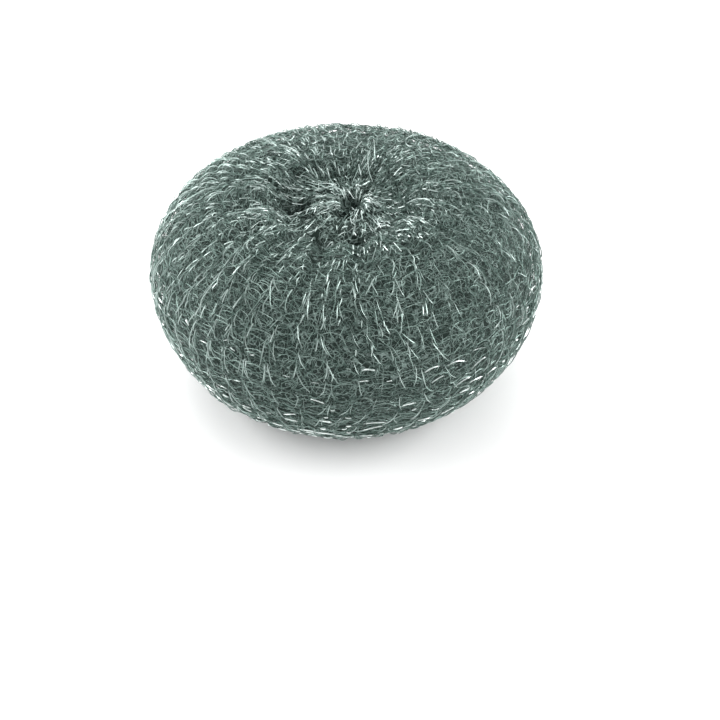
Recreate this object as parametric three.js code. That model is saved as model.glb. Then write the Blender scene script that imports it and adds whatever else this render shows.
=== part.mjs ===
// A knitted metal scourer: one tube of springy galvanised wire mesh, turned in on itself and
// gathered at both ends, so that it stands as a puffy round pad with a puckered dimple on top.
// The knit shows as columns of V stitches (wales) in rings (courses) that run round the pad.
// Millimetres, +Z up, origin at the centre of the flat that the pad rests on.

import * as THREE from 'three';

// Driving dimensions of the pad
const OUTER_DIAMETER = 80; // across the widest ring, over the stitches
const HEIGHT = 43; // from the resting plane to the crown, over the stitches
const WAIST_HEIGHT = 24; // height of the widest ring
const FOOT_DIAMETER = 36; // outer edge of the flat that the pad rests on
const CROWN_DIAMETER = 34; // ring of the highest points, round the dimple
const HOLLOW_DIAMETER = 19; // ring of the lowest points of the dimple, round the knot
const DIMPLE_DEPTH = 3.6; // from the crown down to the hollow
const DIMPLE_LEAN = 0.6; // how much deeper the hollow is on one side, and shallower on the other
const DIMPLE_LEAN_ANGLE = 245; // the deeper side, in degrees
const DIMPLE_SHIFT = 3; // how far the hollow and the crown lie towards the deeper side
const KNOT_DIAMETER = 8; // ring of the gathered knot in the middle of the dimple
const KNOT_RISE = 1.1; // from the hollow up to the knot
const PIT_DEPTH = 5; // from the knot down to the end of the gathers
const PIT_OFFSET = 1.5; // how far the pit lies off the axis, along +X
const TUCK_DIAMETER = 14; // gathered end that is tucked into the underside
const TUCK_DEPTH = 3;
const FULLNESS = 0.54; // how far the wall bulges between foot, waist and crown: 0.55 is round

// The knit
const WALES = 54; // columns of stitches round the pad
const COURSES = 24; // rings of stitches from the foot up to the gathered centre
const STITCH_RELIEF = 1.6; // how far the wire of a stitch stands out of the wall
const STITCH_SLANT = 0.55; // rise of a V's leg, in courses
const SETTLE_HEIGHT = 3; // the lowest stitches are pressed flat up to this height

// The gathers, where the tube is drawn together towards the dimple
const GATHERS = 16;
const GATHER_DEPTH = 2.2; // depth of the folds at the mouth of the dimple
const GATHER_REACH = 64; // diameter at which the folds have opened out
const GATHER_SWAY = 0.9; // how unevenly the folds are spread round the pad, in radians of a fold
const SWAY_LOBES = 3; // how often the folds crowd together round the pad
const GATHER_EASE = 0.6; // share by which the folds are shallower opposite the dimple's deeper side

// Dents between the drawn-in strands, round the knot
const DENT_DEPTH = 2.5;
const DENT_SPREAD = 1.8; // from the middle of a dent to where its slope is steepest
const DENT_PLACES = [
  [-9, 0],
  [-7, -11.5],
  [-3.8, -13],
  [1.5, -11],
];

// Facets: each stitch is two legs wide, and each course is a groove and a ridge
const LEGS_PER_STITCH = 2;
const COURSE_PROFILE = [0, 1];
const TUCK_RINGS = 3;

const COLUMNS = WALES * LEGS_PER_STITCH;
const WALL_ROWS = COURSES * COURSE_PROFILE.length;

const galvanisedWire = new THREE.MeshStandardMaterial({
  color: 0x66736f,
  metalness: 1,
  roughness: 0.42,
});

// A curve that leaves and reaches its ends level, for the rounds of the dimple
function levelEnds(from, to) {
  const middle = (from.x + to.x) / 2;
  return new THREE.CubicBezierCurve(
    from,
    new THREE.Vector2(middle, from.y),
    new THREE.Vector2(middle, to.y),
    to,
  );
}

// Half-section of the wall under its stitches, from the edge of the foot, out round the waist,
// over the crown, through the hollow and over the knot into the pit. x is the radius and y the
// height.
function wallCurve() {
  const waistRadius = OUTER_DIAMETER / 2 - STITCH_RELIEF;
  const footRadius = FOOT_DIAMETER / 2;
  const crownRadius = CROWN_DIAMETER / 2;
  const crownHeight = HEIGHT - STITCH_RELIEF;
  const hollowRadius = HOLLOW_DIAMETER / 2;
  const hollowHeight = crownHeight - DIMPLE_DEPTH;
  const knotRadius = KNOT_DIAMETER / 2;
  const knotHeight = hollowHeight + KNOT_RISE;
  const pitHeight = knotHeight - PIT_DEPTH;

  const footEdge = new THREE.Vector2(footRadius, 0);
  const waist = new THREE.Vector2(waistRadius, WAIST_HEIGHT);
  const crown = new THREE.Vector2(crownRadius, crownHeight);
  const hollow = new THREE.Vector2(hollowRadius, hollowHeight);
  const knot = new THREE.Vector2(knotRadius, knotHeight);
  const pit = new THREE.Vector2(0, pitHeight);

  const wall = new THREE.CurvePath();
  wall.add(
    new THREE.CubicBezierCurve(
      footEdge,
      new THREE.Vector2(THREE.MathUtils.lerp(footRadius, waistRadius, FULLNESS), 0),
      new THREE.Vector2(waistRadius, WAIST_HEIGHT * (1 - FULLNESS)),
      waist,
    ),
  );
  wall.add(
    new THREE.CubicBezierCurve(
      waist,
      new THREE.Vector2(waistRadius, THREE.MathUtils.lerp(WAIST_HEIGHT, crownHeight, FULLNESS)),
      new THREE.Vector2(THREE.MathUtils.lerp(crownRadius, waistRadius, FULLNESS), crownHeight),
      crown,
    ),
  );
  wall.add(levelEnds(crown, hollow));
  wall.add(levelEnds(hollow, knot));
  wall.add(levelEnds(knot, pit));
  return wall;
}

// 1 on the deeper side of the dimple and -1 on the other
function towardsDeepSide(angle) {
  return Math.cos(angle - THREE.MathUtils.degToRad(DIMPLE_LEAN_ANGLE));
}

// How deep the folds lie round the pad: 0 on a fold's back, and in the valley between two folds 1
// on the dimple's deeper side and less on the other
function foldAt(angle) {
  const sway = GATHER_SWAY * Math.sin(SWAY_LOBES * angle);
  const ease = (GATHER_EASE * (1 - towardsDeepSide(angle))) / 2;
  return ((1 - Math.cos(GATHERS * angle + sway)) / 2) * (1 - ease);
}

// How much deeper the hollow lies at a radius and an angle: all of the lean in the hollow's ring,
// and none at the crown and on the axis
function leanAt(radius, angle) {
  const { smoothstep } = THREE.MathUtils;
  const hollowRadius = HOLLOW_DIAMETER / 2;
  const inHollow =
    smoothstep(radius, 0, hollowRadius) - smoothstep(radius, hollowRadius, CROWN_DIAMETER / 2);
  return DIMPLE_LEAN * inHollow * towardsDeepSide(angle);
}

// How far the top is shifted at a radius and an angle: all of the shift from the hollow to the
// crown, and none on the axis and where the gathers have opened out
function shiftAt(radius, angle) {
  const { smoothstep } = THREE.MathUtils;
  const inDimple =
    smoothstep(radius, 0, HOLLOW_DIAMETER / 2) -
    smoothstep(radius, CROWN_DIAMETER / 2, GATHER_REACH / 2);
  return DIMPLE_SHIFT * inDimple * towardsDeepSide(angle);
}

// How deep the dents are at a place on the top
function dentAt(x, y) {
  const depths = DENT_PLACES.map(([dentX, dentY]) => {
    const distance = Math.hypot(x - dentX, y - dentY) / DENT_SPREAD;
    return DENT_DEPTH * Math.exp(-(distance ** 2) / 2);
  });
  return Math.max(...depths);
}

// How far the top is drawn aside with the pit: all of the offset at the pit, and none from the
// hollow outwards
function pitOffsetAt(point) {
  if (point.y < WAIST_HEIGHT) return 0;
  return PIT_OFFSET * (1 - THREE.MathUtils.smoothstep(point.x, 0, HOLLOW_DIAMETER / 2));
}

// A point of the knitted wall. The stitches fade out at the foot and at the gathered centre, and
// the folds fade out towards their reach.
function wallPoint(wall, column, row, angle) {
  const isEnd = row === 0 || row === WALL_ROWS;
  const leg = isEnd ? 0 : column % LEGS_PER_STITCH;
  const along = (row / COURSE_PROFILE.length - leg * STITCH_SLANT) / COURSES;
  const point = wall.getPointAt(Math.max(0, along));
  if (isEnd) return point;

  const tangent = wall.getTangentAt(Math.max(0, along));
  const outward = new THREE.Vector2(tangent.y, -tangent.x);
  const { smoothstep } = THREE.MathUtils;
  const crownRadius = CROWN_DIAMETER / 2;
  const slack = Math.min(1, point.x / crownRadius) * smoothstep(point.y, 0, SETTLE_HEIGHT);
  const stitch = STITCH_RELIEF * COURSE_PROFILE[row % COURSE_PROFILE.length];
  const gather = 1 - smoothstep(point.x, crownRadius, GATHER_REACH / 2);
  const isTop = point.y > WAIST_HEIGHT;
  const fold = isTop ? GATHER_DEPTH * gather * foldAt(angle) : 0;
  const lean = isTop ? leanAt(point.x, angle) : 0;
  const shift = isTop ? shiftAt(point.x, angle) : 0;
  point.addScaledVector(outward, slack * (stitch - fold));
  point.x += shift;
  const dent = isTop ? dentAt(point.x * Math.cos(angle), point.x * Math.sin(angle)) : 0;
  point.y -= lean + dent;
  return point;
}

// The gathered end under the pad, from the axis out to the flat of the foot
function tuckPoint(ring) {
  const spread = ring / TUCK_RINGS;
  const depth = (TUCK_DEPTH * (1 + Math.cos(Math.PI * spread))) / 2;
  return new THREE.Vector2((TUCK_DIAMETER / 2) * spread, depth);
}

// One closed body: a lathe gives the mesh of rings and columns, and its points are then set to
// the tuck, the flat foot and the knitted wall.
function knittedPad() {
  const wall = wallCurve();
  const rows = TUCK_RINGS + 1 + WALL_ROWS + 1;
  const blank = Array.from({ length: rows }, (_, row) => new THREE.Vector2(1, row));
  const geometry = new THREE.LatheGeometry(blank, COLUMNS);
  const position = geometry.getAttribute('position');
  for (let index = 0; index < position.count; index += 1) {
    const column = Math.floor(index / rows) % COLUMNS;
    const row = index % rows;
    const angle = (column / COLUMNS) * Math.PI * 2;
    const point =
      row <= TUCK_RINGS
        ? tuckPoint(row)
        : wallPoint(wall, column, row - TUCK_RINGS - 1, angle);
    const x = point.x * Math.cos(angle) + pitOffsetAt(point);
    const y = point.x * Math.sin(angle);
    position.setXYZ(index, x, y, point.y);
  }
  geometry.computeVertexNormals();
  return geometry;
}

const scourer = new THREE.Group();
const pad = new THREE.Mesh(knittedPad(), galvanisedWire);
pad.name = 'knitted_pad';
scourer.add(pad);

export default scourer;
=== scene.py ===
"""Looks of a knitted metal scourer: flat galvanised wire, knitted in loops round a puffy pad."""

import math
from typing import NamedTuple

import bpy
import numpy as np
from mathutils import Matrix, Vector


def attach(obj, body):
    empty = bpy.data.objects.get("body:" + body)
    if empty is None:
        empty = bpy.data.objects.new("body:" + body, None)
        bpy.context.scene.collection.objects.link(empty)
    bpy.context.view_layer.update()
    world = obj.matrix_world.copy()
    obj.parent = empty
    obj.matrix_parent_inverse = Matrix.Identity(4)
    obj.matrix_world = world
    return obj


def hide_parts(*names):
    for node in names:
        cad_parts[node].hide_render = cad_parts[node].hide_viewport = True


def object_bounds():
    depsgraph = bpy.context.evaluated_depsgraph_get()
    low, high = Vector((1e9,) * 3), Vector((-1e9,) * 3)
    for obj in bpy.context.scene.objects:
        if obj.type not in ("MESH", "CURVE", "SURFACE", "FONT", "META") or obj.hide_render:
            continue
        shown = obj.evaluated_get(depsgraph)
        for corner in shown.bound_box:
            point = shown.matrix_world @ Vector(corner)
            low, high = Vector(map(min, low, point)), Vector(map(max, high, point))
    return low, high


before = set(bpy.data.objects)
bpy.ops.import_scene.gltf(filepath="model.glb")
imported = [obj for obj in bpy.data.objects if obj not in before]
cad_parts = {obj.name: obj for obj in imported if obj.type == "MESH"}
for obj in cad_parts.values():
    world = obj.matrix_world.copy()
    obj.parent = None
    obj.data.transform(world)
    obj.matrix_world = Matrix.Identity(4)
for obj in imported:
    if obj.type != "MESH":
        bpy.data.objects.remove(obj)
cad_low, cad_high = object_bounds()

# The pad, in millimetres and radians, as in the CAD part
MM = 0.001
PAD = "knitted_pad"
BODY = "root"
OUTER_RADIUS = cad_high.x / MM
HEIGHT = cad_high.z / MM
WAIST_HEIGHT = 24.0  # of the widest ring
FOOT_RADIUS = 18.0  # outer edge of the flat that the pad rests on
CROWN_RADIUS = 17.0  # ring of the highest points, round the dimple
HOLLOW_RADIUS = 9.5  # ring of the lowest points of the dimple, round the knot
DIMPLE_DEPTH = 3.6  # from the crown down to the hollow
DIMPLE_LEAN = 0.6  # how much deeper the hollow is on one side, and shallower on the other
DIMPLE_LEAN_ANGLE = math.radians(245.0)  # the deeper side
DIMPLE_SHIFT = 3.0  # how far the hollow and the crown lie towards the deeper side
KNOT_RADIUS = 4.0  # ring of the gathered knot in the middle of the dimple
KNOT_RISE = 1.1  # from the hollow up to the knot
PIT_DEPTH = 5.0  # from the knot down to the end of the gathers
PIT_OFFSET = 1.5  # how far the pit lies off the axis, along +X
TUCK_RADIUS = 7.0  # gathered end that is tucked into the underside
TUCK_DEPTH = 3.0
FULLNESS = 0.54  # how far the wall bulges between foot, waist and crown
WALES = 54  # columns of stitches round the pad
LEGS_PER_STITCH = 2
GATHERS = 16
GATHER_DEPTH = 2.2  # of the folds at the mouth of the dimple
GATHER_REACH = 32.0  # radius at which the folds have opened out
GATHER_SWAY = 0.9  # how unevenly the folds are spread round the pad, in radians of a fold
GATHER_EASE = 0.6  # share by which they are shallower opposite the dimple's deeper side
SWAY_LOBES = 3  # how often the folds crowd together round the pad
DENT_DEPTH = 2.5
DENT_SPREAD = 1.8  # from the middle of a dent to where its slope is steepest
DENT_PLACES = [(-9.0, 0.0), (-7.0, -11.5), (-3.8, -13.0), (1.5, -11.0)]
WALL_STEPS = 400  # points in each stretch of the half-section

# The hollows between the strands, at the dents and the pit
HOLLOWS = [*DENT_PLACES, (PIT_OFFSET, 0.0)]
HOLLOW_SPREAD = 1.3  # from the middle of a hollow to where its slope is steepest
HOLLOW_WAVER = 0.9  # how uneven their edges are
HOLLOW_WAVES = 2.2  # of that unevenness, in radians a millimetre
HOLLOW_PUSH = 1.2  # how far the wires are pushed aside there
HOLLOW_SINK = 2.4  # how far they sink there
HOLLOW_DEPTH = 4.0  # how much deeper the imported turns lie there
HOLLOW_SHADE = 0.75  # painted shade: how much darker the wire's colour is made there, standing in for the hollows' shade
HOLLOW_SHADE_SPREAD = 2.0  # how much wider than the hollow that reaches

# The wire
WIRE_RELIEF = 0.8  # from the middle of the layers out to the outermost wire
WIRE_THICKNESS = 0.06
WIRE_SECTION = np.array([(0.5, 0.5), (-0.5, 0.5), (0.0, -0.5)])  # shares of width and thickness
TUBE_SIDES = len(WIRE_SECTION)
STEEP = 0.9  # rise of a wire, for each length of it, over which it counts as upright
TINY = 1e-6  # keeps a direction from vanishing
BAKE_FILL = 0.9  # share of a strip's height that a face fills when the materials are baked

# The loops of the knit
LOOP_EASE = 0.2  # how much closer the points of a loop lie in its bends
LOOP_SQUARENESS = 0.05  # how much straighter the legs stand, in stitches
PAIRING = 0.15  # how far the two legs of a stitch close up, in stitches
RIB = 0.15  # how far the columns of stitches stand out
RIB_RADIUS = 30.0  # the ribs get lower inside this radius
LUMPS = 0.2  # slow waves of the lift
TOUSLE = 0.35  # how far the strands stray in the gathers
GATHER_SHRINK = 0.6  # how much shorter the loops show in the gathers
KNOT_SLACK = 2.5  # radius under which the wires close up on the wall
KNIT_END_RADIUS = 6.5  # inside this the knit is drawn into the knot
INNER_END_RADIUS = 10.0  # the same for the innermost layers
CRUMPLE = 1.2  # how much less even the loops are on the upper wall
CRUMPLE_HEIGHT = 34.0  # from this height on they are the least even
SWAY_ROUND = 0.5  # how far the columns stray round the pad, in stitches
INNER_SWAY = 0.7  # the same in the inner layers
SWAY_ALONG = 1.2  # how far the courses stray along the wall

# Slow unevenness: the most lobes round the pad and the most waves along the wall
COLUMN_WAVES = (9, 4)
COURSE_WAVES = (14, 6)
LUMP_WAVES = (8, 4)
PACKED_WAVES = (30, 20)
RIPPLE_TERMS = 12  # waves that are added up
COLUMN_SEED = 9  # of the sway that the outer columns share

# How the wire of a loop leans, in radians off the wall
LEG_TURN = 0.45  # how far the wire of the legs turns off its edge to one side
INNER_TURN = 0.1  # the same in the inner layers
LEG_TURN_POWER = 3  # how closely that keeps to the middle of a leg
LOW_TWIST = 2.5  # how much more the legs twist low on the wall
SHINY_COLUMNS = 0.3  # share of the columns of legs in which some legs lie flat
FLAT_LEG_POWER = 4  # how closely the flat part keeps to the middle of a leg
HEAD_TILT = 0.45  # how far the head of a loop tilts down on the upper wall
EDGE_TILT = 0.5  # how far the bends of a loop tilt up on the lower wall
LOW_WALL_HEIGHT = 22.0  # the leans of the lower wall fade out up to this height
SHINY_HEADS = 0.3  # share of the heads that tilt down on the lower wall
FLAT_HEADS = 0.4  # share of the outermost heads that lie flat there, and fewer in the layers under them

# The legs that lie on top of the upper wall, in rings
LEG_SEED = 31
LEG_START = 58.0  # length along the wall of the lowest ring
LEG_PITCH = 4.6  # from ring to ring
LEG_RING_SPREAD = 0.5  # how far they stray off their ring
LEG_COLUMN_SPREAD = 0.15  # how far they stray off their column, in legs
LEGS = LEGS_PER_STITCH * WALES  # in a full ring
LEG_FULL_RADIUS = 34.0  # the rings thin out inside this
LEG_SIDE = math.radians(160.0)  # the side on which most of them lie
LEG_FEWEST = 0.22  # share of them on the other side
LEG_COLUMNS = (0.0, 2.0)  # how unevenly the columns share them
LEG_WIDTH = 0.2
LEG_LENGTH = (1.0, 2.8)
LEG_LIFT = (0.4, 0.8)
LEG_DIP = 0.15  # how far the ends of a leg go down between the others
LEG_SLANT = 0.06  # of the two legs of a V, in radians
LEG_SKEW = 0.15  # of all the legs to one side, in radians
LEG_SLANT_SPREAD = 0.1
LEG_LEAN = 0.6  # how far they stand up on the wall, in radians
LEG_LEAN_SPREAD = 0.3
LEG_POINTS = 6

# The heads that catch the light on the lower wall, in rings
HEAD_SEED = 41
HEAD_RINGS = (25.0, 61.0)  # lengths along the wall of the lowest and the highest ring
HEAD_PITCH = 2.3  # from ring to ring
HEAD_RING_SPREAD = 0.4  # how far they stray off their ring
HEAD_COLUMN_SPREAD = 0.15  # how far they stray off their column, in stitches
HEAD_SHARES = (0.8, 0.28)  # of the stitches, in the lowest and the highest ring
HEAD_LENGTH = (0.8, 4.6)
HEAD_LENGTH_POWER = 2  # how much rarer the long ones are
HEAD_WIDTH = 0.28
HEAD_BOW = 0.15  # how fast the ends of a head bow down
HEAD_SLANT_SPREAD = 0.2  # off the ring, in radians
HEAD_TURN = 0.2  # how far they tilt down off their edge, in radians
HEAD_TURN_SPREAD = 0.3

# The strands that stand out of the gathers and cross at the knot
STRAND_RADIUS = (2.2, 21.0)
STRAND_LENGTH = (0.7, 3.0)
STRAND_LENGTH_POWER = 3  # how much rarer the long ones are
STRAND_HEADING = 0.2  # how far they stray off the way to the knot, in radians
KNOT_HEADING = 0.6  # the same at the knot
STRAND_CURL = 0.04  # bend along a strand, in radians a millimetre
STRAND_POINTS = 6
STRANDS_OVER_DENTS = 0.3  # share of them that is left over the dents
DENT_EDGE = DENT_DEPTH / 4  # depth from which a place counts as in a dent
BUNDLES = np.radians([205, 178, 160, 135, 60, 3, 340, 318, 308, 285, 270, 228, 216])  # round the axis
BUNDLE_SPREAD = 0.1  # in radians

# Single long strands pulled out of the gathers: x and y of their ends
PULLED = [((5.4, 15.6), (7.5, 7.3)), ((6.3, 20.0), (7.6, 12.2))]
PULLED_POINTS = 10
PULLED_LIFT = 1.0  # in their middle
PULLED_LEAN = -0.6  # in radians

# The turns packed inside the pad
PACKED_SEED = 77
PACKED_COLUMNS = 160
PACKED_ROWS = 90
PACKED_DEPTH = 1.5  # under the middle of the layers
PACKED_LUMPS = 0.3

# Surface of the wire, with scales for each metre and heights in metres
PATCH_SCALE = 350.0
PATCH_DETAIL = 3.0
PATCH_RANGE = (0.3, 0.7)  # of the noise, from dull to bright
GRAIN_SCALE = 5000.0
GRAIN_STRENGTH = 0.25
GRAIN_HEIGHT = 0.00003

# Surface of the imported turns: scale and seed of the noises whose contours are the curls
CURL_NOISES = [(420.0, 1.0), (600.0, 5.0)]
CURL_STEP = 0.1  # half of the rise of the noise from one curl to the next
CURL_EDGE = (0.075, 0.095)  # from the gap to the wire
CURL_STRENGTH = 0.8
CURL_HEIGHT = 0.0003
# painted shade of the deep gaps between the packed turns
GAP_SHADE_COLOUR = (0.025, 0.04, 0.034)
CURL_COLOUR = (0.26, 0.34, 0.315)
PACKED_ROUGHNESS = 0.5
PACKED_SPECULAR = 0.1

# Floor and light, in metres
FLOOR_SIDE = 6.0
FLOOR_COLOUR = (0.93, 0.93, 0.93)
FLOOR_ROUGHNESS = 0.9
WORLD_COLOUR = (1.0, 1.0, 1.0)
WORLD_STRENGTH = 0.92

# The photograph's view, in pixels, millimetres and radians
IMAGE_SIDE = 720
PAD_CENTRE_PIXEL = (346.0, 271.0)
VIEW_ELEVATION = math.radians(37.5)
VIEW_DISTANCE = 240.0
LENS = 58.0
SENSOR = 36.0
CLIP_START = 10.0


class FinishAndShading(NamedTuple):
    """Colour and roughness of a wire, where it is dull and where it is bright."""

    dull_colour: tuple
    bright_colour: tuple
    dull_roughness: float
    bright_roughness: float


FINISHES_AND_SHADING = {
    # a much lighter copy of the same wire for the heads on the lower wall: painted highlight, besides its
    # lower roughness
    "polished_lit_wire": FinishAndShading((0.60, 0.68, 0.655), (0.82, 0.88, 0.86), 0.4, 0.3),
    "strand_wire": FinishAndShading((0.39, 0.476, 0.448), (0.59, 0.674, 0.648), 0.5, 0.4),
    "leg_wire": FinishAndShading((0.275, 0.35, 0.325), (0.445, 0.525, 0.5), 0.55, 0.42),
    "bright_wire": FinishAndShading((0.268, 0.342, 0.318), (0.43, 0.51, 0.485), 0.55, 0.42),
    # darker copies of the same wire for the layers that lie deeper: painted shade, partly duller wire
    "dull_shaded_wire": FinishAndShading((0.21, 0.288, 0.261), (0.335, 0.42, 0.39), 0.6, 0.48),
    "inner_shaded_wire": FinishAndShading((0.16, 0.232, 0.206), (0.265, 0.345, 0.316), 0.6, 0.5),
    "deep_shaded_wire": FinishAndShading((0.085, 0.128, 0.112), (0.15, 0.205, 0.185), 0.6, 0.5),
}


class Strands(NamedTuple):
    """A kind of strand that stands out of the gathers."""

    name: str
    wire: str  # its finish and colour, the colour partly painted light and shade
    seed: int
    count: int
    bundled: float  # share of them that lies in bundles
    width: float
    lift: tuple  # least and most, off the wall


STRANDS = [
    Strands("gathered_strands", "dull_shaded_wire", seed=21, count=500, bundled=0.4, width=0.14, lift=(0.0, 0.8)),
    Strands("bright_strands", "strand_wire", seed=22, count=680, bundled=0.8, width=0.18, lift=(0.3, 0.9)),
]


class Lamp(NamedTuple):
    """A round soft lamp that faces the pad, in metres and watts."""

    name: str
    place: tuple
    size: float
    power: float


LAMPS = [
    Lamp("top_softbox", (-0.15, 0.3, 0.68), 0.7, 2.5),
    Lamp("left_softbox", (-0.62, 0.06, 0.32), 0.6, 4.5),
    Lamp("right_softbox", (0.62, 0.02, 0.25), 0.6, 5.2),
    Lamp("back_softbox", (0.0, 0.7, 0.4), 0.6, 2.1),
    Lamp("front_softbox", (0.0, -0.6, 0.55), 0.3, 0.3),
]


def smoothstep(value, low, high):
    """0 up to the low value, 1 from the high one on, and smooth between them."""
    share = np.clip((value - low) / (high - low), 0.0, 1.0)
    return share * share * (3.0 - 2.0 * share)


def unit(vectors):
    """Vectors of length 1, one a row."""
    return vectors / np.linalg.norm(vectors, axis=1, keepdims=True)


class Wall:
    """Half-section of the pad from the tucked-in end below to the pit of the gathers on top."""

    def __init__(self):
        waist_radius = OUTER_RADIUS - WIRE_RELIEF
        crown_height = HEIGHT - WIRE_RELIEF
        hollow_height = crown_height - DIMPLE_DEPTH
        knot_height = hollow_height + KNOT_RISE
        self.pit_height = knot_height - PIT_DEPTH
        waist = (waist_radius, WAIST_HEIGHT)
        crown = (CROWN_RADIUS, crown_height)
        hollow = (HOLLOW_RADIUS, hollow_height)
        knot = (KNOT_RADIUS, knot_height)
        pit = (0, self.pit_height)

        spread = np.linspace(0.0, 1.0, WALL_STEPS, endpoint=False)
        tuck_height = TUCK_DEPTH * (1 + np.cos(np.pi * spread)) / 2
        tuck = np.stack([TUCK_RADIUS * spread, tuck_height], axis=1)
        foot = np.stack([TUCK_RADIUS + (FOOT_RADIUS - TUCK_RADIUS) * spread, 0 * spread], axis=1)
        lower = self.curve(
            (FOOT_RADIUS, 0),
            (FOOT_RADIUS + (waist_radius - FOOT_RADIUS) * FULLNESS, 0),
            (waist_radius, WAIST_HEIGHT * (1 - FULLNESS)),
            waist,
        )
        upper = self.curve(
            waist,
            (waist_radius, WAIST_HEIGHT + (crown_height - WAIST_HEIGHT) * FULLNESS),
            (CROWN_RADIUS + (waist_radius - CROWN_RADIUS) * FULLNESS, crown_height),
            crown,
        )
        top = [self.level_ends(*ends) for ends in ((crown, hollow), (hollow, knot), (knot, pit))]
        self.points = np.concatenate([tuck, foot, lower, upper, *top])

        step = np.diff(self.points, axis=0)
        self.arc = np.concatenate([[0.0], np.cumsum(np.hypot(step[:, 0], step[:, 1]))])
        tangent = unit(np.gradient(self.points, axis=0))
        self.outward = np.stack([tangent[:, 1], -tangent[:, 0]], axis=1)
        self.length = self.arc[-1]
        self.foot_arc = self.arc[len(tuck) + len(foot)]
        self.waist_index = len(tuck) + len(foot) + len(lower)
        self.crown_arc = self.arc[self.waist_index + len(upper)]

    def curve(self, p0, p1, p2, p3):
        """Points of a cubic curve, without its last one."""
        p0, p1, p2, p3 = (np.array(point, float) for point in (p0, p1, p2, p3))
        t = np.linspace(0.0, 1.0, WALL_STEPS, endpoint=False)[:, None]
        return (1 - t) ** 3 * p0 + 3 * (1 - t) ** 2 * t * p1 + 3 * (1 - t) * t**2 * p2 + t**3 * p3

    def level_ends(self, start, end):
        """A curve that leaves and reaches its ends level."""
        middle = (start[0] + end[0]) / 2
        return self.curve(start, (middle, start[1]), (middle, end[1]), end)

    def at(self, arc):
        """Radius, height and outward direction of the wall at a length along it."""
        radius = np.interp(arc, self.arc, self.points[:, 0])
        height = np.interp(arc, self.arc, self.points[:, 1])
        out_radius = np.interp(arc, self.arc, self.outward[:, 0])
        out_height = np.interp(arc, self.arc, self.outward[:, 1])
        return radius, height, out_radius, out_height

    def top_arc(self, radius):
        """Length along the wall of a radius on the top of the pad."""
        top = slice(self.waist_index, None)
        return np.interp(-radius, -self.points[top, 0], self.arc[top])


WALL = Wall()


class Layer(NamedTuple):
    """One knitted wire round the pad."""

    name: str
    wire: str  # its finish and colour, the colour partly painted light and shade
    order: int  # from the outermost inwards, and its seed
    is_outer: bool  # whether its columns of stitches show
    start: float  # length along the wall where it begins
    end_radius: float  # on the top, where it ends
    pitch: float  # height of a course
    reach: float  # how far a loop's bends lie from the middle of its course, in courses
    bulge: float  # how far a loop's head is wider than its legs, in stitches
    points: int  # along one stitch
    lift: float  # off the middle of the layers
    relief: float  # how far a loop's bends stand out over its legs
    dive: float  # how far the bends go under the other layers on the upper wall
    width: float  # of the flat wire
    thickness: float
    jitter: float  # unevenness of the loops, in stitches
    fuzz: float  # unevenness of the lift
    flat: float  # share of the legs that lie flat, in the columns that shine
    twist: float  # how far the wire of the legs turns off its edge at random, in radians


LAYERS = [
    Layer(
        name="outer_knit", wire="bright_wire", order=1, is_outer=True,
        start=2.0, end_radius=KNIT_END_RADIUS,
        pitch=4.6, reach=0.52, bulge=0.22, points=22,
        lift=0.55, relief=-0.1, dive=0.3,
        width=0.21, thickness=WIRE_THICKNESS,
        jitter=0.06, fuzz=0.1, flat=0.6, twist=0.3,
    ),
    Layer(
        name="second_knit", wire="dull_shaded_wire", order=2, is_outer=True,
        start=4.3, end_radius=KNIT_END_RADIUS,
        pitch=4.6, reach=0.52, bulge=0.22, points=20,
        lift=0.35, relief=0.0, dive=0.2,
        width=0.18, thickness=WIRE_THICKNESS,
        jitter=0.08, fuzz=0.12, flat=0.3, twist=0.4,
    ),
    Layer(
        name="third_knit", wire="inner_shaded_wire", order=3, is_outer=False,
        start=2.0, end_radius=KNIT_END_RADIUS,
        pitch=2.3, reach=0.8, bulge=0.3, points=12,
        lift=0.15, relief=0.15, dive=0.0,
        width=0.09, thickness=0.075,
        jitter=0.14, fuzz=0.15, flat=0.2, twist=0.5,
    ),
    Layer(
        name="fourth_knit", wire="deep_shaded_wire", order=4, is_outer=False,
        start=WALL.foot_arc, end_radius=INNER_END_RADIUS,
        pitch=2.2, reach=0.8, bulge=0.3, points=11,
        lift=-0.15, relief=0.2, dive=0.0,
        width=0.11, thickness=0.09,
        jitter=0.18, fuzz=0.2, flat=0.1, twist=0.5,
    ),
    Layer(
        name="fifth_knit", wire="deep_shaded_wire", order=5, is_outer=False,
        start=WALL.foot_arc, end_radius=INNER_END_RADIUS,
        pitch=2.1, reach=0.8, bulge=0.3, points=10,
        lift=-0.5, relief=0.2, dive=0.0,
        width=0.11, thickness=0.09,
        jitter=0.2, fuzz=0.2, flat=0.1, twist=0.5,
    ),
]


def gathered(radius, height):
    """How far the fabric is drawn together, from 0 on the flank to 1 at the dimple."""
    near_dimple = 1 - smoothstep(radius, CROWN_RADIUS, GATHER_REACH)
    return smoothstep(height, WAIST_HEIGHT, HEIGHT) * near_dimple


def fold_at(angle):
    """How deep the folds lie round the pad, from 0 on a fold's back to 1 in the deepest valley."""
    ease = GATHER_EASE * (1 - np.cos(angle - DIMPLE_LEAN_ANGLE)) / 2
    return (1 - np.cos(GATHERS * angle + GATHER_SWAY * np.sin(SWAY_LOBES * angle))) / 2 * (1 - ease)


def dimple_lean(radius, angle):
    """How much deeper the hollow lies at a radius and an angle."""
    in_hollow = smoothstep(radius, 0, HOLLOW_RADIUS) - smoothstep(radius, HOLLOW_RADIUS, CROWN_RADIUS)
    return DIMPLE_LEAN * in_hollow * np.cos(angle - DIMPLE_LEAN_ANGLE)


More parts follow.
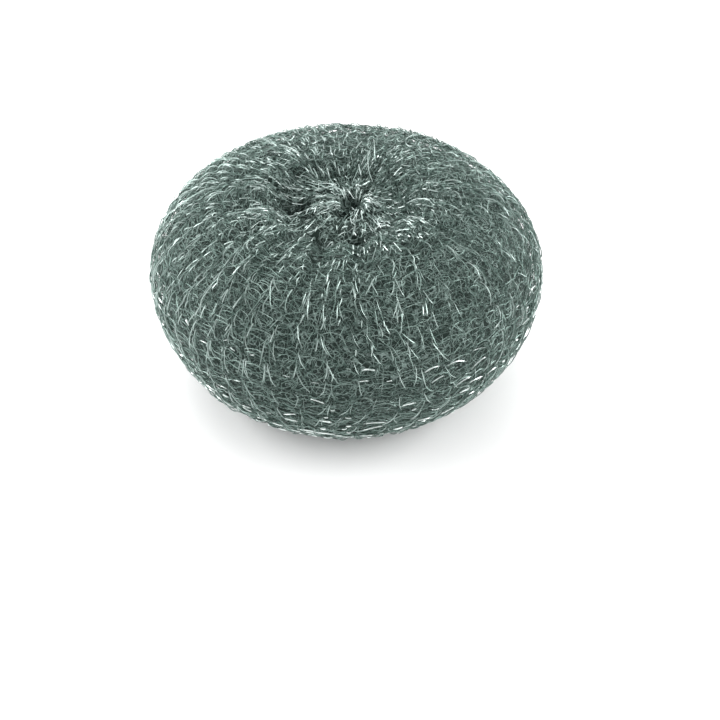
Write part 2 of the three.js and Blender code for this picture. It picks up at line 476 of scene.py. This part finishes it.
def dimple_shift(radius, angle):
    """How far the top is shifted outwards at a radius and an angle."""
    in_dimple = smoothstep(radius, 0, HOLLOW_RADIUS) - smoothstep(radius, CROWN_RADIUS, GATHER_REACH)
    return DIMPLE_SHIFT * in_dimple * np.cos(angle - DIMPLE_LEAN_ANGLE)


def dent_at(x, y):
    """How deep the dents are at places on the top."""
    depths = [np.exp(-((x - a) ** 2 + (y - b) ** 2) / (2 * DENT_SPREAD**2)) for a, b in DENT_PLACES]
    return DENT_DEPTH * np.max(depths, axis=0)


def hollow_at(x, y, place, spread=HOLLOW_SPREAD):
    """How near points are to a hollow's middle, 1 there, and the way from it."""
    dx = x + HOLLOW_WAVER * np.sin(HOLLOW_WAVES * y) - place[0]
    dy = y + HOLLOW_WAVER * np.sin(HOLLOW_WAVES * x) - place[1]
    distance = np.hypot(dx, dy) + WIRE_THICKNESS
    return np.exp(-((distance / spread) ** 2) / 2), dx / distance, dy / distance


def nearest_hollow(x, y, spread=HOLLOW_SPREAD):
    """How near points are to the middle of the nearest hollow, 1 there."""
    return np.max([hollow_at(x, y, place, spread)[0] for place in HOLLOWS], axis=0)


def shade_at(corners):
    """How much of the wire's colour is left under the painted shade of the hollows: 1 on the pad and less
    in them.
    """
    x, y, level = corners.T
    near = nearest_hollow(x, y, HOLLOW_SPREAD * HOLLOW_SHADE_SPREAD)
    return 1 - HOLLOW_SHADE * np.where(level > WAIST_HEIGHT, near, 0.0)


def on_pad(angle, arc, lift, dented=1.0):
    """Points at an angle and a length along the wall, lifted off it, and their outward directions."""
    radius, height, out_radius, out_height = WALL.at(arc)
    on_top = np.where(height > WAIST_HEIGHT, 1.0, 0.0)
    slack = np.minimum(1.0, radius / CROWN_RADIUS)
    fold = GATHER_DEPTH * gathered(radius, height) * slack * fold_at(angle)
    lift = lift * np.minimum(1.0, radius / KNOT_SLACK)
    ring = radius + (lift - fold) * out_radius + on_top * dimple_shift(radius, angle)
    ring = np.maximum(ring, WIRE_THICKNESS)
    x = ring * np.cos(angle) + on_top * PIT_OFFSET * (1 - smoothstep(radius, 0, HOLLOW_RADIUS))
    y = ring * np.sin(angle)
    dent = dimple_lean(radius, angle) + dented * dent_at(x, y)
    level = height + (lift - fold) * out_height - on_top * dent
    for place in HOLLOWS:
        nearness, way_x, way_y = hollow_at(x, y, place)
        x = x + on_top * dented * HOLLOW_PUSH * nearness * way_x
        y = y + on_top * dented * HOLLOW_PUSH * nearness * way_y
        level = level - on_top * dented * HOLLOW_SINK * nearness
    outward = np.stack([out_radius * np.cos(angle), out_radius * np.sin(angle), out_height], axis=1)
    return np.stack([x, y, level], axis=1), outward


class Ripple:
    """A smooth seeded unevenness over the wall, about -1 to 1."""

    def __init__(self, rng, lobes, waves):
        self.around = rng.integers(-lobes, lobes + 1, RIPPLE_TERMS)
        self.along = rng.uniform(-waves, waves, RIPPLE_TERMS) * 2 * np.pi / WALL.length
        self.phase = rng.uniform(0, 2 * np.pi, RIPPLE_TERMS)

    def at(self, angle, arc):
        total = np.zeros_like(angle)
        for around, along, phase in zip(self.around, self.along, self.phase):
            total += np.cos(around * angle + along * arc + phase)
        return total * math.sqrt(2.0 / RIPPLE_TERMS) / 2


COLUMN_SWAY = Ripple(np.random.default_rng(COLUMN_SEED), *COLUMN_WAVES)


def swayed(angle, arc):
    """Angles that stray round the pad as all its outer columns of stitches do."""
    return angle + COLUMN_SWAY.at(angle, arc) * 2 * np.pi / WALES * SWAY_ROUND


def eased(values, position):
    """Values at whole places, read smoothly between them."""
    index = np.clip(np.floor(position).astype(int), 0, len(values) - 2)
    share = smoothstep(position - index, 0.0, 1.0)
    return values[index] + (values[index + 1] - values[index]) * share


def steady_frames(path):
    """Two directions across a path that turn with it and never twist."""
    tangent = unit(np.gradient(path, axis=0))
    helper = np.where(np.abs(tangent[:, 2:]) < STEEP, [[0.0, 0.0, 1.0]], [[1.0, 0.0, 0.0]])
    first = unit(np.cross(tangent, helper))
    second = np.cross(tangent, first)
    axis = np.cross(tangent[:-1], tangent[1:])
    cosine = np.sum(tangent[:-1] * tangent[1:], axis=1)[:, None]
    carried = first[:-1]
    along_axis = np.sum(axis * carried, axis=1)[:, None]
    carried = carried * cosine + np.cross(axis, carried) + axis * along_axis / (1 + cosine)
    twist = np.arctan2(np.sum(carried * second[1:], axis=1), np.sum(carried * first[1:], axis=1))
    turn = np.concatenate([[0.0], np.cumsum(twist)])[:, None]
    return np.cos(turn) * first + np.sin(turn) * second, np.cos(turn) * second - np.sin(turn) * first


def flat_wire(path, outward, lean, width, thickness=WIRE_THICKNESS, rows=1):
    """A closed wire along a path, flat on the wall where lean is 0 and on edge at a quarter turn."""
    count = len(path)
    first, second = steady_frames(path)
    tangent = np.cross(first, second)
    up = unit(outward - np.sum(outward * tangent, axis=1, keepdims=True) * tangent + TINY)
    across = np.cross(up, tangent)
    wide = np.cos(lean)[:, None] * across + np.sin(lean)[:, None] * up
    turn = np.arctan2(np.sum(wide * second, axis=1), np.sum(wide * first, axis=1))
    turn = (np.unwrap(2 * turn) / 2)[:, None]
    wide = np.cos(turn) * first + np.sin(turn) * second
    thick = np.cos(turn) * second - np.sin(turn) * first
    spread = width * WIRE_SECTION[:, 0]
    depth = thickness * WIRE_SECTION[:, 1]
    ring = spread[None, :, None] * wide[:, None, :] + depth[None, :, None] * thick[:, None, :]
    corners = (path[:, None, :] + ring).reshape(-1, 3)
    step = np.arange(count - 1)[:, None] * TUBE_SIDES
    side = np.arange(TUBE_SIDES)[None, :]
    after = (side + 1) % TUBE_SIDES
    near = [step + side, step + after]
    far = [step + TUBE_SIDES + after, step + TUBE_SIDES + side]
    quads = np.stack(near + far, axis=2).reshape(-1, 4)
    last = TUBE_SIDES * (count - 1)
    ends = np.array([[2, 1, 0], [last, last + 1, last + 2]])
    return corners, quads, ends, bake_places(count - 1, rows)


def bake_places(steps, rows):
    """Places of a wire's faces in the unit square, in rows of strips."""
    row_length = math.ceil(steps / rows)
    place = np.arange(steps)[:, None]
    side = np.arange(TUBE_SIDES)[None, :]
    u0 = (place % row_length + 0 * side) / row_length
    u1 = u0 + 1 / row_length
    v0 = (place // row_length) / rows + side / (rows * TUBE_SIDES)
    v1 = v0 + BAKE_FILL / (rows * TUBE_SIDES)
    corners = [(u0, v0), (u0, v1), (u1, v1), (u1, v0)]
    return np.stack([np.stack(corner, axis=-1) for corner in corners], axis=2).reshape(-1, 4, 2)


def dress(name, mesh, material):
    """Puts a mesh on the pad's body, in the place of the CAD solid."""
    mesh.materials.append(material)
    made = bpy.data.objects.new(name, mesh)
    bpy.context.scene.collection.objects.link(made)
    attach(made, BODY)
    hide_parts(PAD)


def set_bake_places(mesh, places):
    """Sets where the corners of a mesh's faces lie in the unit square for baking."""
    layer = mesh.uv_layers.new(name="OFBake")
    layer.data.foreach_set("uv", np.concatenate(places).ravel().astype(np.float32))


def piece(name, tubes, material, hollow_shaded=True):
    """One object made of closed tubes, in metres, with bake coordinates in a grid of cells."""
    corners = []
    loops = []
    starts = []
    totals = []
    places = []
    first_corner = 0
    first_loop = 0
    cells = math.ceil(math.sqrt(len(tubes)))
    for number, (points, quads, ends, strips) in enumerate(tubes):
        corners.append(points)
        loops.extend([(quads + first_corner).ravel(), (ends + first_corner).ravel()])
        sizes = np.concatenate([np.full(len(faces), faces.shape[1]) for faces in (quads, ends)])
        starts.append(first_loop + np.concatenate([[0], np.cumsum(sizes)[:-1]]))
        totals.append(sizes)
        cell = np.array([number % cells, number // cells])
        places.append((strips.reshape(-1, 2) + cell) / cells)
        places.append(np.broadcast_to(cell / cells, (ends.size, 2)))
        first_corner += len(points)
        first_loop += sizes.sum()
    corners = np.concatenate(corners)
    loops = np.concatenate(loops)
    starts = np.concatenate(starts)
    # the painted shade of the hollows: how much of the colour is left at each corner
    shade = shade_at(corners) if hollow_shaded else np.ones(len(corners))

    mesh = bpy.data.meshes.new(name)
    mesh.vertices.add(len(corners))
    mesh.vertices.foreach_set("co", (corners * MM).ravel().astype(np.float32))
    mesh.loops.add(len(loops))
    mesh.loops.foreach_set("vertex_index", loops.astype(np.int32))
    mesh.polygons.add(len(starts))
    mesh.polygons.foreach_set("loop_start", starts.astype(np.int32))
    mesh.polygons.foreach_set("loop_total", np.concatenate(totals).astype(np.int32))
    mesh.update(calc_edges=True)
    set_bake_places(mesh, places)
    mesh.shade_smooth()
    edges = np.empty(len(mesh.edges) * 2, np.int32)
    mesh.edges.foreach_get("vertices", edges)
    lengthwise = np.abs(edges[0::2] - edges[1::2]) == TUBE_SIDES
    sharp = mesh.attributes.new("sharp_edge", "BOOLEAN", "EDGE")
    sharp.data.foreach_set("value", lengthwise)
    unshaded = mesh.attributes.new("unshaded", "FLOAT", "POINT")
    unshaded.data.foreach_set("value", shade.astype(np.float32))
    dress(name, mesh, material)


def knit(layer):
    """The wire of a layer: each stitch is a head and a sinker loop with two legs."""
    rng = np.random.default_rng(layer.order)
    end = WALL.top_arc(layer.end_radius)
    courses = int((end - layer.start) / layer.pitch)
    stitches = WALES * courses
    even = np.arange(stitches * layer.points) / layer.points * 2 * np.pi
    turn = even - LOOP_EASE * np.sin(2 * even)
    stitch = turn / (2 * np.pi)

    def uneven():
        """A smooth unevenness along the wire, drawn twice a stitch."""
        return eased(rng.normal(0, 1, 2 * stitches + 3), 2 * stitch)

    radius, level, _, _ = WALL.at(layer.start + stitch / WALES * layer.pitch)
    gather = gathered(radius, level)
    upper = smoothstep(level, WAIST_HEIGHT, CRUMPLE_HEIGHT)
    low = 1 - smoothstep(level, 0, LOW_WALL_HEIGHT)

    # Place of each point of the loops, round the pad and along the wall
    jitter = layer.jitter * (1 + CRUMPLE * upper)
    size = 1 + jitter * uneven()
    reach = layer.reach * size * (1 - GATHER_SHRINK * gather)
    shape = layer.bulge * np.sin(2 * turn)
    if layer.is_outer:
        shape = shape + LOOP_SQUARENESS * np.sin(4 * turn) + PAIRING * np.sin(turn)
    column = stitch + size * shape + jitter * uneven()
    course = stitch / WALES + reach * np.cos(turn) + jitter * uneven()
    arc = layer.start + np.clip(course, 0.0, courses) * layer.pitch
    angle = column / WALES * 2 * np.pi
    if layer.is_outer:
        angle = swayed(angle, arc)
    else:
        stray = INNER_SWAY * Ripple(rng, *COLUMN_WAVES).at(angle, arc) + rng.random()
        angle = angle + stray * 2 * np.pi / WALES
    arc = arc + Ripple(rng, *COURSE_WAVES).at(angle, arc) * SWAY_ALONG
    arc = np.clip(arc, layer.start, end + layer.pitch)

    # Lift off the wall
    dive = layer.dive * upper
    lift = layer.lift + (layer.relief - dive) * np.cos(2 * turn) - dive + layer.fuzz * uneven()
    lift = lift - RIB * np.minimum(1.0, radius / RIB_RADIUS) * np.cos(2 * np.pi * column)
    lift = lift + LUMPS * Ripple(rng, *LUMP_WAVES).at(angle, arc)
    path, outward = on_pad(angle, arc, lift)
    path = path + TOUSLE * gather[:, None] * np.stack([uneven(), uneven(), uneven()], axis=1)
    path[:, 2] = np.maximum(path[:, 2], layer.width / 2)
    lean = loop_lean(layer, rng, turn, stitches, upper, low)
    return flat_wire(path, outward, lean, layer.width, layer.thickness, courses)


def loop_lean(layer, rng, turn, stitches, upper, low):
    """How far the wire of a layer stands up on the wall along its loops, in radians."""
    stitch = turn / (2 * np.pi)
    side = np.sin(turn)
    leg = np.floor(LEGS_PER_STITCH * stitch).astype(int)
    shiny = rng.random(LEGS) < SHINY_COLUMNS
    lies = rng.random(LEGS_PER_STITCH * stitches + 1) < layer.flat
    twist = rng.normal(0, layer.twist, LEGS_PER_STITCH * stitches + 1)
    upright = 1 - (shiny[leg % LEGS] & lies[leg]) * (1 - low) * side**FLAT_LEG_POWER
    leg_turn = (LEG_TURN if layer.is_outer else INNER_TURN) * (1 - low)
    twisted = twist[leg] * (1 + LOW_TWIST * low) * side**2
    lean = (np.pi / 2 + leg_turn * side**LEG_TURN_POWER + twisted) * upright
    at_head = np.maximum(0.0, np.cos(turn))
    lean = lean + HEAD_TILT * upper * at_head - EDGE_TILT * low * np.abs(np.cos(turn))
    head = np.round(stitch).astype(int)
    shiny_heads = rng.random(stitches + 2) < SHINY_HEADS
    lean = lean + (EDGE_TILT + HEAD_TILT) * shiny_heads[head] * low * at_head**2
    level_heads = rng.random(stitches + 2) < FLAT_HEADS / layer.order
    return lean * (1 - level_heads[head] * low * at_head**2)


def wires_on_pad(angles, arcs, lifts, leans, width, dented=1.0):
    """Separate wires, one a row of the arrays."""
    count, points = angles.shape
    paths, outwards = on_pad(angles.ravel(), arcs.ravel(), lifts.ravel(), dented)
    paths[:, 2] = np.maximum(paths[:, 2], width / 2)
    paths = paths.reshape(count, points, 3)
    outwards = outwards.reshape(count, points, 3)
    leans = np.broadcast_to(leans[:, None], (count, points))
    return [flat_wire(*wire, width) for wire in zip(paths, outwards, leans)]


def flat_legs():
    """The legs of the outermost stitches, in rings up the wall to the crown."""
    rng = np.random.default_rng(LEG_SEED)
    rings = np.arange(LEG_START, WALL.crown_arc, LEG_PITCH)
    arc, leg = (grid.ravel() for grid in np.meshgrid(rings, np.arange(LEGS), indexing="ij"))
    radius, _, _, _ = WALL.at(arc)
    side = (1 + np.cos(leg / LEGS * 2 * np.pi - LEG_SIDE)) / 2
    column_share = rng.uniform(*LEG_COLUMNS, LEGS)[leg]
    share = radius / LEG_FULL_RADIUS * (LEG_FEWEST + (1 - LEG_FEWEST) * side) * column_share
    kept = rng.random(len(arc)) < share
    arc, leg, radius = arc[kept], leg[kept], radius[kept]
    count = len(arc)
    is_first = leg % LEGS_PER_STITCH == 0
    arc = arc + rng.normal(0, LEG_RING_SPREAD, count)
    pairing = np.where(is_first, PAIRING, -PAIRING)
    place = leg + 0.5 + rng.normal(0, LEG_COLUMN_SPREAD, count)
    angle = swayed((place / LEGS_PER_STITCH + pairing) / WALES * 2 * np.pi, arc)
    slant = LEG_SKEW + np.where(is_first, LEG_SLANT, -LEG_SLANT) + rng.normal(0, LEG_SLANT_SPREAD, count)
    leans = rng.normal(LEG_LEAN, LEG_LEAN_SPREAD, count)
    share = np.linspace(-1, 1, LEG_POINTS)[None, :]
    along = share * rng.uniform(*LEG_LENGTH, count)[:, None] / 2
    arcs = arc[:, None] + along * np.cos(slant)[:, None]
    angles = angle[:, None] + along * np.sin(slant)[:, None] / radius[:, None]
    lifts = rng.uniform(*LEG_LIFT, count)[:, None] - LEG_DIP * share**2
    return wires_on_pad(angles, arcs, lifts, leans, LEG_WIDTH)


def flat_heads():
    """Heads of the outermost stitches that catch the light, in rings up the lower wall."""
    rng = np.random.default_rng(HEAD_SEED)
    rings = np.arange(*HEAD_RINGS, HEAD_PITCH)
    arc, head = (grid.ravel() for grid in np.meshgrid(rings, np.arange(WALES), indexing="ij"))
    kept = rng.random(len(arc)) < np.interp(arc, HEAD_RINGS, HEAD_SHARES)
    arc, head = arc[kept], head[kept]
    count = len(arc)
    radius, _, _, _ = WALL.at(arc)
    arc = arc + rng.normal(0, HEAD_RING_SPREAD, count)
    place = head + rng.normal(0, HEAD_COLUMN_SPREAD, count)
    angle = swayed(place / WALES * 2 * np.pi, arc)
    slant = rng.normal(0, HEAD_SLANT_SPREAD, count)
    leans = np.pi / 2 + rng.normal(HEAD_TURN, HEAD_TURN_SPREAD, count)
    share = np.linspace(-1, 1, LEG_POINTS)[None, :]
    shortest, longest = HEAD_LENGTH
    length = shortest + (longest - shortest) * rng.random(count)[:, None] ** HEAD_LENGTH_POWER
    along = share * length / 2
    arcs = arc[:, None] + along * np.sin(slant)[:, None] - HEAD_BOW * along**2
    angles = angle[:, None] + along * np.cos(slant)[:, None] / radius[:, None]
    lifts = rng.uniform(*LEG_LIFT, count)[:, None] - LEG_DIP * share**2
    return wires_on_pad(angles, arcs, lifts, leans, HEAD_WIDTH)


def gathered_strands(kind):
    """Strands that stand out of the gathers, many of them in bundles, and cross at the knot."""
    count = kind.count
    rng = np.random.default_rng(kind.seed)
    radius = rng.uniform(*STRAND_RADIUS, count)
    bundle = rng.choice(BUNDLES, count) + rng.normal(0, BUNDLE_SPREAD, count)
    angle = np.where(rng.random(count) < kind.bundled, bundle, rng.uniform(0, 2 * np.pi, count))
    at_knot = 1 - smoothstep(radius, KNOT_RADIUS, CROWN_RADIUS)
    stray = STRAND_HEADING + (KNOT_HEADING - STRAND_HEADING) * at_knot
    heading = angle + stray * rng.normal(0, 1, count)
    shortest, longest = STRAND_LENGTH
    length = shortest + (longest - shortest) * rng.random(count) ** STRAND_LENGTH_POWER
    curl = rng.normal(0, STRAND_CURL, count)
    place = np.linspace(-0.5, 0.5, STRAND_POINTS)[None, :] * length[:, None]
    way = heading[:, None] + curl[:, None] * place / 2
    x = radius[:, None] * np.cos(angle)[:, None] + place * np.cos(way)
    y = radius[:, None] * np.sin(angle)[:, None] + place * np.sin(way)
    angles = np.arctan2(y, x)
    arcs = WALL.top_arc(np.hypot(x, y))
    lifts = np.broadcast_to(rng.uniform(*kind.lift, count)[:, None], arcs.shape)
    leans = rng.uniform(0, np.pi, count)
    covered = np.max(dent_at(x, y), axis=1) > DENT_EDGE
    clear = ~covered | (rng.random(count) < STRANDS_OVER_DENTS)
    return wires_on_pad(angles[clear], arcs[clear], lifts[clear], leans[clear], kind.width, dented=0.0)


def pulled_strands():
    """Single long strands that have been pulled out of the gathers."""
    wires = []
    for start, end in PULLED:
        share = np.linspace(0, 1, PULLED_POINTS)
        x = start[0] + (end[0] - start[0]) * share
        y = start[1] + (end[1] - start[1]) * share
        lift = WIRE_RELIEF + PULLED_LIFT * 4 * share * (1 - share)
        path, outward = on_pad(np.arctan2(y, x), WALL.top_arc(np.hypot(x, y)), lift, dented=0.0)
        wires.append(flat_wire(path, outward, np.full(PULLED_POINTS, PULLED_LEAN), LEG_WIDTH))
    return wires


def node_input(node, name, value):
    node.inputs[name].default_value = value


def opaque(colour):
    return (*colour, 1.0)


def new_material(name):
    """A material with nodes, and its nodes, links and shader."""
    material = bpy.data.materials.new(name)
    material.use_nodes = True
    tree = material.node_tree
    return material, tree.nodes, tree.links, tree.nodes["Principled BSDF"]


def add_ramp(nodes, start_colour, end_colour, positions=(0.0, 1.0)):
    """A colour ramp between two colours."""
    ramp = nodes.new("ShaderNodeValToRGB")
    for element, colour, position in zip(ramp.color_ramp.elements, (start_colour, end_colour), positions):
        element.position = position
        element.color = opaque(colour)
    return ramp


def add_bump(nodes, links, shader, height, strength, distance):
    """Relief on a shader from a height."""
    bump = nodes.new("ShaderNodeBump")
    node_input(bump, "Strength", strength)
    node_input(bump, "Distance", distance)
    links.new(height, bump.inputs["Height"])
    links.new(bump.outputs["Normal"], shader.inputs["Normal"])


def wire_material(name):
    """Galvanised wire: grey-green zinc, dull in patches and bright where it has been drawn."""
    finish_and_shading = FINISHES_AND_SHADING[name]
    material, nodes, links, shader = new_material(name)
    place = nodes.new("ShaderNodeTexCoord").outputs["Object"]
    patches = nodes.new("ShaderNodeTexNoise")
    node_input(patches, "Scale", PATCH_SCALE)
    node_input(patches, "Detail", PATCH_DETAIL)
    links.new(place, patches.inputs["Vector"])

    # Colour, darkened in the hollows by painted shade
    colour = add_ramp(nodes, finish_and_shading.dull_colour, finish_and_shading.bright_colour, PATCH_RANGE)
    links.new(patches.outputs["Fac"], colour.inputs["Fac"])
    unshaded = nodes.new("ShaderNodeAttribute")
    unshaded.attribute_name = "unshaded"
    tint = nodes.new("ShaderNodeVectorMath")
    tint.operation = "SCALE"
    links.new(colour.outputs["Color"], tint.inputs[0])
    links.new(unshaded.outputs["Fac"], tint.inputs["Scale"])
    links.new(tint.outputs["Vector"], shader.inputs["Base Color"])

    # Gloss and grain
    rough = nodes.new("ShaderNodeMapRange")
    node_input(rough, "From Min", PATCH_RANGE[0])
    node_input(rough, "From Max", PATCH_RANGE[1])
    node_input(rough, "To Min", finish_and_shading.dull_roughness)
    node_input(rough, "To Max", finish_and_shading.bright_roughness)
    links.new(patches.outputs["Fac"], rough.inputs["Value"])
    links.new(rough.outputs["Result"], shader.inputs["Roughness"])
    grain = nodes.new("ShaderNodeTexNoise")
    node_input(grain, "Scale", GRAIN_SCALE)
    links.new(place, grain.inputs["Vector"])
    add_bump(nodes, links, shader, grain.outputs["Fac"], GRAIN_STRENGTH, GRAIN_HEIGHT)
    node_input(shader, "Metallic", 1.0)
    return material


def add_curls(nodes, links, place, scale, seed):
    """Thin curls along the contours of a noise: 1 on a curl and 0 between them."""
    noise = nodes.new("ShaderNodeTexNoise")
    noise.noise_dimensions = "4D"
    node_input(noise, "Scale", scale)
    node_input(noise, "W", seed)
    node_input(noise, "Detail", 0.0)
    links.new(place, noise.inputs["Vector"])
    wave = nodes.new("ShaderNodeMath")
    wave.operation = "PINGPONG"
    wave.inputs[1].default_value = CURL_STEP
    links.new(noise.outputs["Fac"], wave.inputs[0])
    line = nodes.new("ShaderNodeMapRange")
    line.interpolation_type = "SMOOTHSTEP"
    node_input(line, "From Min", CURL_EDGE[0])
    node_input(line, "From Max", CURL_EDGE[1])
    links.new(wave.outputs[0], line.inputs["Value"])
    return line.outputs["Result"]


def packed_material():
    """The turns packed inside: fine curls over painted shade in the gaps."""
    material, nodes, links, shader = new_material("packed_wire")
    place = nodes.new("ShaderNodeTexCoord").outputs["Object"]
    both = nodes.new("ShaderNodeMath")
    both.operation = "MAXIMUM"
    for socket, (scale, seed) in zip(both.inputs, CURL_NOISES):
        links.new(add_curls(nodes, links, place, scale, seed), socket)
    curls = both.outputs[0]
    colour = add_ramp(nodes, GAP_SHADE_COLOUR, CURL_COLOUR)
    links.new(curls, colour.inputs["Fac"])
    links.new(colour.outputs["Color"], shader.inputs["Base Color"])
    add_bump(nodes, links, shader, curls, CURL_STRENGTH, CURL_HEIGHT)
    node_input(shader, "Roughness", PACKED_ROUGHNESS)
    node_input(shader, "Specular IOR Level", PACKED_SPECULAR)
    return material


def inner_turns():
    """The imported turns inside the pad, as one crumpled closed body under the knit."""
    lumps = Ripple(np.random.default_rng(PACKED_SEED), *PACKED_WAVES)
    arc = np.linspace(0.0, WALL.length, PACKED_ROWS)
    angle = np.arange(PACKED_COLUMNS) / PACKED_COLUMNS * 2 * np.pi
    angles, arcs = (grid.ravel() for grid in np.meshgrid(angle, arc[1:-1]))
    points, _ = on_pad(angles, arcs, -PACKED_DEPTH + PACKED_LUMPS * lumps.at(angles, arcs))
    x, y, level = points.T
    points[:, 2] -= np.where(level > WAIST_HEIGHT, HOLLOW_DEPTH * nearest_hollow(x, y), 0.0)
    tuck_pole = [0, 0, TUCK_DEPTH + PACKED_DEPTH]
    pit_pole = [PIT_OFFSET, 0, WALL.pit_height - PACKED_DEPTH - HOLLOW_DEPTH]
    corners = np.concatenate([points, [tuck_pole, pit_pole]]) * MM

    faces = []
    places = []
    width = 1 / PACKED_COLUMNS
    height = 1 / (PACKED_ROWS - 1)
    last_row = PACKED_ROWS - 3
    for row in range(last_row):
        near = row * PACKED_COLUMNS
        far = near + PACKED_COLUMNS
        low = (row + 1) * height
        for column in range(PACKED_COLUMNS):
            after = (column + 1) % PACKED_COLUMNS
            left = column * width
            right = left + width
            faces.append((near + column, near + after, far + after, far + column))
            places.append([(left, low), (right, low), (right, low + height), (left, low + height)])
    last = last_row * PACKED_COLUMNS
    for column in range(PACKED_COLUMNS):
        after = (column + 1) % PACKED_COLUMNS
        left = column * width
        right = left + width
        faces.append((after, column, len(corners) - 2))
        places.append([(right, height), (left, height), (left, 0.0)])
        faces.append((last + column, last + after, len(corners) - 1))
        places.append([(left, 1 - height), (right, 1 - height), (left, 1.0)])

    name = "inner_turns"
    mesh = bpy.data.meshes.new(name)
    mesh.from_pydata(corners.tolist(), [], faces)
    set_bake_places(mesh, places)
    mesh.shade_smooth()
    dress(name, mesh, packed_material())


def add_floor():
    """A plain pale floor."""
    bpy.ops.mesh.primitive_plane_add(size=FLOOR_SIDE)
    floor = bpy.context.object
    floor.name = "floor"
    paper, _, _, shader = new_material("white_paper")
    node_input(shader, "Base Color", opaque(FLOOR_COLOUR))
    node_input(shader, "Roughness", FLOOR_ROUGHNESS)
    floor.data.materials.append(paper)


def add_light(scene):
    """Plain soft studio light."""
    world = bpy.data.worlds.new("studio")
    scene.world = world
    world.use_nodes = True
    sky = world.node_tree.nodes["Background"]
    node_input(sky, "Color", opaque(WORLD_COLOUR))
    node_input(sky, "Strength", WORLD_STRENGTH)
    for lamp in LAMPS:
        data = bpy.data.lights.new(lamp.name, "AREA")
        data.shape = "DISK"
        data.size = lamp.size
        data.energy = lamp.power
        made = bpy.data.objects.new(lamp.name, data)
        made.location = lamp.place
        aim = made.location.copy()
        aim.z -= HEIGHT / 2 * MM
        made.rotation_euler = aim.to_track_quat("Z", "Y").to_euler()
        scene.collection.objects.link(made)


def add_camera(scene):
    """The camera at the photograph's view, aimed at the middle of the pad."""
    data = bpy.data.cameras.new("camera")
    camera = bpy.data.objects.new("camera", data)
    reach = VIEW_DISTANCE * MM
    middle = HEIGHT / 2 * MM
    camera.location = (0, -reach * math.cos(VIEW_ELEVATION), middle + reach * math.sin(VIEW_ELEVATION))
    camera.rotation_euler = (math.pi / 2 - VIEW_ELEVATION, 0, 0)
    data.sensor_width = SENSOR
    data.lens = LENS
    data.shift_x = (IMAGE_SIDE / 2 - PAD_CENTRE_PIXEL[0]) / IMAGE_SIDE
    data.shift_y = (PAD_CENTRE_PIXEL[1] - IMAGE_SIDE / 2) / IMAGE_SIDE
    data.clip_start = CLIP_START * MM
    scene.collection.objects.link(camera)
    scene.camera = camera


wires = {name: wire_material(name) for name in FINISHES_AND_SHADING}
for layer in LAYERS:
    piece(layer.name, [knit(layer)], wires[layer.wire])
piece("flat_legs", flat_legs(), wires["leg_wire"])
# the heads' much lighter colour is a painted highlight
piece("flat_heads", flat_heads(), wires["polished_lit_wire"])
for kind in STRANDS:
    # the strands get none of the painted shade of the hollows
    piece(kind.name, gathered_strands(kind), wires[kind.wire], hollow_shaded=False)
piece("pulled_strands", pulled_strands(), wires["leg_wire"])
inner_turns()

scene = bpy.context.scene
scene.view_settings.view_transform = "Standard"
add_floor()
add_light(scene)
add_camera(scene)
